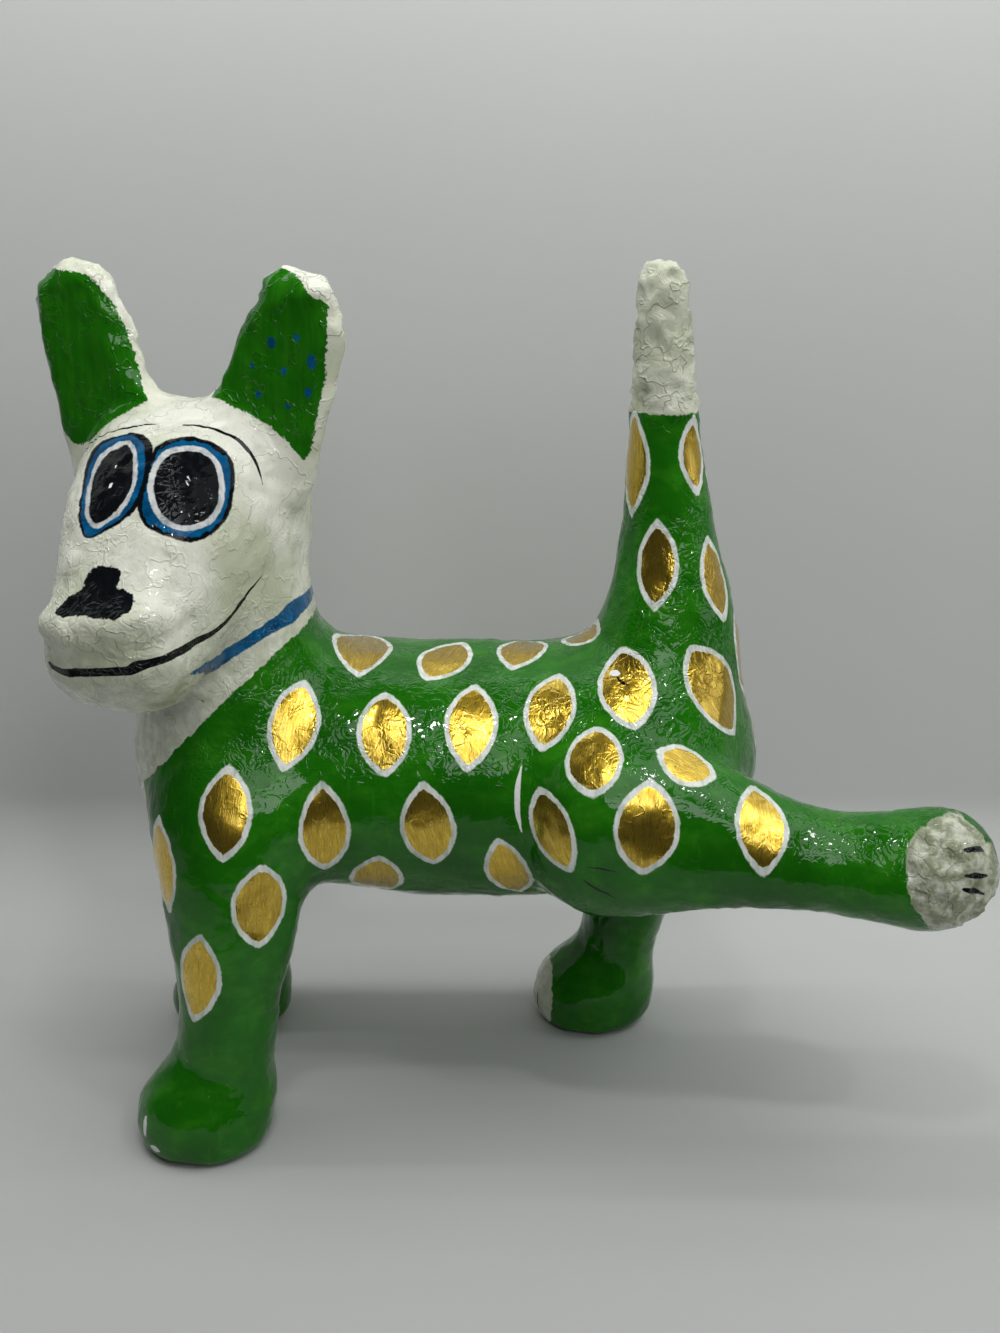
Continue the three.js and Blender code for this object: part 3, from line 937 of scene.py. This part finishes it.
# each paint is its first colour, under others that show where a noise is high: the noise,
# where it begins to show and where it shows most, the shares there, and the colour
paints = {
    "green": ("green", [("streaks", 0.46, 0.74, 0, 0.55, "lightGreen"),
                        ("patches", 0.45, 0.7, 0, 0.7, "deepGreen"),
                        ("strokes", 0.6, 0.8, 0, 0.35, "lightGreen")]),
    "earGreen": ("green", [("strokes", 0.42, 0.72, 0, 0.35, "lightGreen"),
                           ("patches", 0.45, 0.7, 0, 0.6, "deepGreen")]),
    # in the white, the dull white laid by region is painted shade with some grime
    "white": ("white", [("patches", 0.4, 0.72, 0, 0.9, "washedWhite"),
                        ("streaks", 0.5, 0.72, 0, 0.45, "washedWhite"),
                        ("shadeAndGrime", 0, 1, 0, 1, "dullWhite"),
                        ("shiver", 0.68, 0.8, 0, 0.5, "speck"),
                        ("folds", 0, 1, 0, 0.16, "dullWhite")]),
    "gold": ("darkGold", [("goldStrokes", 0.35, 0.66, 0, 1, "gold"),
                          ("cracks", 0, 1, 0, 0.8, "crack")]),
    "outline": ("outline", [("strokes", 0.4, 0.68, 0, 1, "thinOutline")]),
    "ring": ("paleRing", [("strokes", 0.45, 0.7, 0, 1, "thinRing")]),
    "blue": ("blue", [("streaks", 0.4, 0.65, 0, 1, "deepBlue")]),
    "black": ("black", [("strokes", 0.5, 0.78, 0, 0.8, "thinBlack")]),
}


class Nodes:
    # short words for adding shader nodes and joining them up
    def __init__(self, material):
        material.use_nodes = True
        self.tree = material.node_tree
        self.tree.nodes.clear()

    def add(self, kind, outlet=0, **settings):
        node = self.tree.nodes.new(kind)
        for name, value in settings.items():
            if name.startswith("in_"):
                key = name[3:].replace("_", " ")
                self.feed(node.inputs[int(key) if key.isdigit() else key], value)
            else:
                setattr(node, name, value)
        return node.outputs[outlet]

    def feed(self, socket, value):
        if isinstance(value, bpy.types.NodeSocket):
            self.tree.links.new(value, socket)
        elif isinstance(value, tuple) and len(value) == 3 and socket.type == "RGBA":
            socket.default_value = (*value, 1)
        else:
            socket.default_value = value

    def sum(self, a, b, operation="ADD"):
        return self.add("ShaderNodeMath", operation=operation, in_0=a, in_1=b)

    def times(self, a, b):
        return self.sum(a, b, "MULTIPLY")

    def swing(self, value, size):
        # a noise about its middle, times a size
        return self.times(self.sum(value, 0.5, "SUBTRACT"), size)

    def within(self, half, value):
        # half less the size of the value: above 0 inside a band
        return self.sum(half, self.sum(value, 0.0, "ABSOLUTE"), "SUBTRACT")

    def field(self, name):
        return self.add("ShaderNodeAttribute", outlet=2, attribute_name=name)

    def noise(self, where, scale, detail=3.0, roughness=0.55):
        return self.add("ShaderNodeTexNoise", in_Vector=where, in_Scale=scale,
                        in_Detail=detail, in_Roughness=roughness)

    def ridges(self, value, width):
        # 1 along the lines where a noise crosses its middle, falling to 0 over the width
        return self.spread(self.sum(self.sum(value, 0.5, "SUBTRACT"), 0.0, "ABSOLUTE"),
                           0.0, width, 1, 0)

    def spread(self, value, low, high, lowTo=0.0, highTo=1.0):
        return self.add("ShaderNodeMapRange", in_Value=value, in_From_Min=low,
                        in_From_Max=high, in_To_Min=lowTo, in_To_Max=highTo)

    def mix(self, share, under, over, kind, first, outlet):
        node = self.tree.nodes.new("ShaderNodeMix")
        node.data_type = kind
        for socket, value in ((0, share), (first, under), (first + 1, over)):
            self.feed(node.inputs[socket], value)
        return node.outputs[outlet]

    def blend(self, share, under, over):
        return self.mix(share, under, over, "RGBA", 6, 2)

    def fade(self, share, under, over):
        return self.mix(share, under, over, "FLOAT", 2, 0)

    def finish(self, shader):
        output = self.tree.nodes.new("ShaderNodeOutputMaterial")
        self.tree.links.new(shader.outputs[0], output.inputs[0])


def paintedPaper(look, brush):
    material = bpy.data.materials.new("paintedPaper")
    n = Nodes(material)
    here = n.add("ShaderNodeTexCoord", outlet=3)

    # brushwork: streaks drawn out along the dog, strokes up it, and finer noises for the edges
    streaks, strokes = (
        n.noise(n.add("ShaderNodeMapping", in_Vector=here, in_Scale=brush[name],
                      in_Rotation=brush[name + "Turned"]), 1.0, 3, 0.6)
        for name in ("streaks", "strokes")
    )
    wander = n.noise(here, brush["wander"], 2, 0.6)
    shiver = n.noise(here, brush["shiver"], 1, 0.5)
    wobble = n.sum(n.swing(wander, brush["wanderSize"] * look["wobble"]),
                   n.swing(shiver, brush["shiverSize"] * look["wobble"]))

    # gold leaf in upright strokes with fine dark cracks between them
    spotEdge = n.field("spotEdge")
    across, along = n.field("spotAcross"), n.field("spotAlong")
    bendScale, bendSize = brush["goldBend"]
    bent = n.sum(n.times(across, brush["goldAcross"]),
                 n.times(n.noise(here, bendScale, 2), bendSize))
    strokePlace = n.add("ShaderNodeCombineXYZ", in_X=bent,
                        in_Y=n.times(along, brush["goldAlong"]),
                        in_Z=n.times(n.field("spotTone"), brush["goldApart"]))
    goldStrokes = n.noise(strokePlace, brush["goldStrokes"], 4, 0.62)
    goldLines = n.noise(strokePlace, brush["goldLines"], 2, 0.55)

    noises = {
        "patches": n.field("patches"),
        "streaks": streaks,
        "strokes": strokes,
        "shiver": shiver,
        # painted shade with some grime on the white, by region, broken up by the wandering noise
        "shadeAndGrime": n.times(n.field("shadeAndGrimeLayer"), n.spread(wander, *brush["shadeAndGrimeSpread"])),
        "folds": n.ridges(wander, brush["foldWidth"]),
        "goldStrokes": goldStrokes,
        "cracks": n.times(n.ridges(goldLines, brush["crackWidth"]),
                          n.spread(goldStrokes, *brush["cracked"])),
    }

    def brushed(name):
        colour, layers = look[paints[name][0]], paints[name][1]
        for noise, low, high, lowShare, highShare, over in layers:
            share = n.spread(noises[noise], low, high, lowShare, highShare)
            colour = n.blend(share, colour, look[over])
        return colour

    def cover(value, edge=look["edge"]):
        # 1 where the field is past the edge, with the edge wandering by the wobble
        return n.spread(n.sum(value, wobble), -edge, edge)

    # green, then the ovals and the white over it
    tips = n.times(n.sum(along, 4.0, "POWER"), brush["tips"])
    onOutline = cover(n.sum(n.sum(spotEdge, ovalPaint["whiteBand"]), tips))
    onGold = cover(n.sum(spotEdge, n.swing(strokes, brush["goldEdge"])), look["fineEdge"])
    onWhite = cover(n.sum(n.field("whiteEdge"), n.swing(wander, brush["whiteEdge"])))
    colour = n.blend(onOutline, brushed("green"), brushed("outline"))
    colour = n.blend(onGold, colour, brushed("gold"))
    colour = n.blend(onWhite, colour, brushed("white"))

    # collar, ears, the eyes from their rims inwards, and the nose
    blue, black, ring = brushed("blue"), brushed("black"), brushed("ring")
    farPupil, nearPupil, nearRim = n.field("farPupil"), n.field("nearPupil"), n.field("nearRim")
    rimInside = n.sum(nearRim, n.swing(strokes, brush["rimEdge"]))
    for value, over in (
        (n.field("collarEdge"), blue),
        (n.sum(n.field("earGreen"), n.swing(shiver, brush["earEdge"])), brushed("earGreen")),
        (n.field("earDots"), blue),
        (n.field("farRim"), look["black"]),
        (n.field("farBlue"), blue),
        (n.sum(farPupil, eyes["farPaleRing"]), ring),
        (farPupil, black),
        (nearRim, look["black"]),
        (n.sum(rimInside, -eyes["rimLine"]), blue),
        (n.sum(nearPupil, eyes["paleRing"]), ring),
        (nearPupil, black),
        (n.sum(n.field("noseEdge"), n.swing(shiver, brush["noseEdge"])), black),
    ):
        colour = n.blend(cover(value), colour, over)

    # brushed lines, pale flecks and the painted highlights in the eyes, whose crisp edges wander less
    fine = look["fineEdge"]
    ink, beside, pale = (n.within(n.field(name + "Half"), n.field(name + "Offset"))
                         for name in ("ink", "between", "pale"))
    ink = n.sum(n.sum(ink, beside, "MAXIMUM"), n.times(wobble, brush["inkEdge"]))
    colour = n.blend(n.spread(ink, -fine, fine), colour, look["black"])
    pale = n.sum(n.sum(pale, n.field("flecksAndEyeHighlights"), "MAXIMUM"), n.times(wobble, brush["fleckEdge"]))
    pale = n.spread(pale, -fine, fine)
    colour = n.blend(pale, colour, look["fleckAndEyeHighlight"])

    bare = n.sum(1.0, onWhite, "SUBTRACT")
    metal = n.times(n.times(onGold, bare), n.sum(1.0, pale, "SUBTRACT"))
    rough = n.fade(metal, n.spread(streaks, *brush["middle"], *brush["paintRoughness"]),
                   n.spread(goldStrokes, *brush["middle"], *brush["goldRoughness"]))

    # height of the soft folds in the paper and, where the tissue is gathered, of small raised
    # facets with crisp valleys between them
    bentPlace = n.add("ShaderNodeAttribute", outlet=1, attribute_name="bentPlace")
    facets = n.add("ShaderNodeTexVoronoi", feature="DISTANCE_TO_EDGE", in_Vector=bentPlace,
                   in_Scale=brush["facets"])
    facets = n.times(n.spread(facets, 0, brush["facetEdge"]), n.field("crumpled"))
    foldScale, foldHeight = brush["softFolds"]
    height = n.sum(n.times(facets, brush["facetHeight"]),
                   n.times(n.noise(here, foldScale, 2, 0.5), foldHeight))
    seams = n.ridges(n.noise(here, brush["seams"], 3, 0.62), brush["seamWidth"])
    height = n.sum(height, n.times(seams, n.field("seamed")))
    grain = n.spread(spotEdge, *brush["grainEdge"], 0, brush["grainHeight"])
    height = n.sum(height, n.times(goldLines, grain))
    bump = n.add("ShaderNodeBump", in_Distance=brush["bumpHeight"], in_Height=height)

    shader = n.tree.nodes.new("ShaderNodeBsdfPrincipled")
    n.feed(shader.inputs["Base Color"], colour)
    n.feed(shader.inputs["Metallic"], metal)
    n.feed(shader.inputs["Roughness"], rough)
    n.feed(shader.inputs["Normal"], bump)
    shader.inputs["Specular IOR Level"].default_value = look["underGloss"]
    n.feed(shader.inputs["Coat Weight"],
           n.spread(n.field("dulled"), 0, 1, look["gloss"], look["thinGloss"]))
    shader.inputs["Coat IOR"].default_value = look["varnish"]
    n.feed(shader.inputs["Coat Roughness"], look["glossRoughness"])
    n.feed(shader.inputs["Coat Normal"], bump)
    n.finish(shader)
    return material


dogMesh.materials.clear()
dogMesh.materials.append(paintedPaper(finish, brushwork))
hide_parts("dog")
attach(dogSkin, "root")
print("finish painted")


# sweep, camera and light

studio = {
    # metres, in the row frame; the floor is in two sheets that meet at floorMiddle
    "floorFront": -1.6,
    "floorMiddle": -0.30,
    "floorBack": 0.12,
    "curve": 0.06,
    "wallTop": 1.7,
    "halfWidth": 2.2,
    "floorSteps": 12,
    "curveSteps": 24,
    "wallSteps": 9,
    "acrossSteps": 9,
    "paper": (0.50, 0.51, 0.50),
    "paperShade": 0.96,
    "paperRoughness": 0.6,
    "world": (0.04, 0.042, 0.042),
    # each lamp: place, what it is aimed at, width, depth and watts
    "lamps": {
        "topBox": ((0.35, -0.46, 1.05), (0.05, -0.15, 0.15), 1.25, 0.6, 4.6),
        "leftSpark": ((0.0, -0.42, 1.0), (-0.05, 0.0, 0.17), 0.08, 0.05, 0.8),
        "rightSpark": ((0.42, -0.5, 1.0), (0.1, 0.0, 0.17), 0.08, 0.05, 0.8),
        "frontBox": ((0.35, -1.3, 0.95), (0.0, 0.0, 0.15), 0.8, 0.35, 3.1),
        "sideBox": ((1.2, -0.3, 0.5), (0.0, -0.05, 0.2), 0.6, 0.4, 1.0),
        "wallBox": ((-0.1, 0.03, 0.8), (-0.1, 0.18, 0.75), 1.8, 0.1, 7.0),
        "fillBox": ((-0.25, 0.07, 1.15), (-0.12, 0.0, 0.0), 0.8, 0.6, 3.3),
    },
    # these two brighten the wall, the back and the brow without showing in the varnish
    "unmirrored": ("wallBox", "fillBox"),
    "lens": 43.2,
    "sensor": 36,
    "camera": (-0.00388, -0.61693, 0.375),
    "tilt": 73,
}


def palePaper(values):
    # matt paper with a faint change of tone
    material = bpy.data.materials.new("palePaper")
    n = Nodes(material)
    here = n.add("ShaderNodeTexCoord", outlet=3)
    shade = tuple(c * values["paperShade"] for c in values["paper"])
    tone = n.blend(n.spread(n.noise(here, 3, 2), 0.3, 0.7), values["paper"], shade)
    shader = n.tree.nodes.new("ShaderNodeBsdfPrincipled")
    n.feed(shader.inputs["Base Color"], tone)
    n.feed(shader.inputs["Roughness"], values["paperRoughness"])
    shader.inputs["Specular IOR Level"].default_value = 0.0
    # seen from behind, the paper isn't there
    behind = n.add("ShaderNodeNewGeometry", outlet=6)
    n.feed(shader.inputs["Alpha"], n.sum(1.0, behind, "SUBTRACT"))
    n.finish(shader)
    return material


def addSheet(name, points, faces, material):
    mesh = bpy.data.meshes.new(name)
    mesh.from_pydata(points, [], faces)
    mesh.polygons.foreach_set("use_smooth", np.ones(len(mesh.polygons), dtype=bool))
    mesh.update()
    mesh.materials.append(material)
    sheet = bpy.data.objects.new(name, mesh)
    bpy.context.scene.collection.objects.link(sheet)
    return sheet


def makeSweep(values):
    # a profile of floor, quarter circle and wall, carried straight across
    turn = np.linspace(0, math.pi / 2, values["curveSteps"])[1:]
    back, curve = values["floorBack"], values["curve"]
    wallSteps, steps = values["wallSteps"], values["acrossSteps"]
    y = np.concatenate([np.linspace(values["floorMiddle"], back, values["floorSteps"]),
                        back + curve * np.sin(turn), np.full(wallSteps - 1, back + curve)])
    z = np.concatenate([np.zeros(values["floorSteps"]), curve * (1 - np.cos(turn)),
                        np.linspace(curve, values["wallTop"], wallSteps)[1:]])
    across = np.linspace(-values["halfWidth"], values["halfWidth"], steps)
    points = np.stack([np.repeat(across, len(y)), np.tile(y, steps), np.tile(z, steps)], axis=1)
    first = (np.arange(steps - 1)[:, None] * len(y) + np.arange(len(y) - 1)).ravel()
    faces = np.stack([first, first + len(y), first + len(y) + 1, first + 1], axis=1)
    material = palePaper(values)
    sweep = addSheet("paperSweep", points, faces.tolist(), material)

    # the paper in front lights the dog but doesn't show in its varnish
    side, near, middle = values["halfWidth"], values["floorFront"], values["floorMiddle"]
    corners = [(-side, near, 0), (side, near, 0), (side, middle, 0), (-side, middle, 0)]
    front = addSheet("paperFront", corners, [(0, 1, 2, 3)], material)
    front.visible_glossy = False


def softBox(name, place, aim, width, depth, watts):
    # a lit rectangle that faces what it is aimed at, with its width level
    lamp = bpy.data.lights.new(name, "AREA")
    lamp.shape = "RECTANGLE"
    lamp.size, lamp.size_y = width, depth
    lamp.energy = watts
    box = bpy.data.objects.new(name, lamp)
    bpy.context.scene.collection.objects.link(box)
    box.location = place
    x, y, z = np.array(aim) - np.array(place)
    box.rotation_euler = (math.atan2(math.hypot(x, y), -z), 0, math.atan2(y, x) - math.pi / 2)
    return box


makeSweep(studio)
for name, lamp in studio["lamps"].items():
    softBox(name, *lamp).visible_glossy = name not in studio["unmirrored"]

world = bpy.data.worlds.new("studioAir")
world.use_nodes = True
world.node_tree.nodes["Background"].inputs["Color"].default_value = (*studio["world"], 1)
world.node_tree.nodes["Background"].inputs["Strength"].default_value = 1.0
bpy.context.scene.world = world
bpy.context.scene.view_settings.view_transform = "Standard"

lens = bpy.data.cameras.new("studioCamera")
lens.lens = studio["lens"]
lens.sensor_width = studio["sensor"]
lens.clip_start = 0.01
camera = bpy.data.objects.new("studioCamera", lens)
bpy.context.scene.collection.objects.link(camera)
camera.location = studio["camera"]
camera.rotation_euler = (math.radians(studio["tilt"]), 0, 0)
bpy.context.scene.camera = camera
print("studio set")
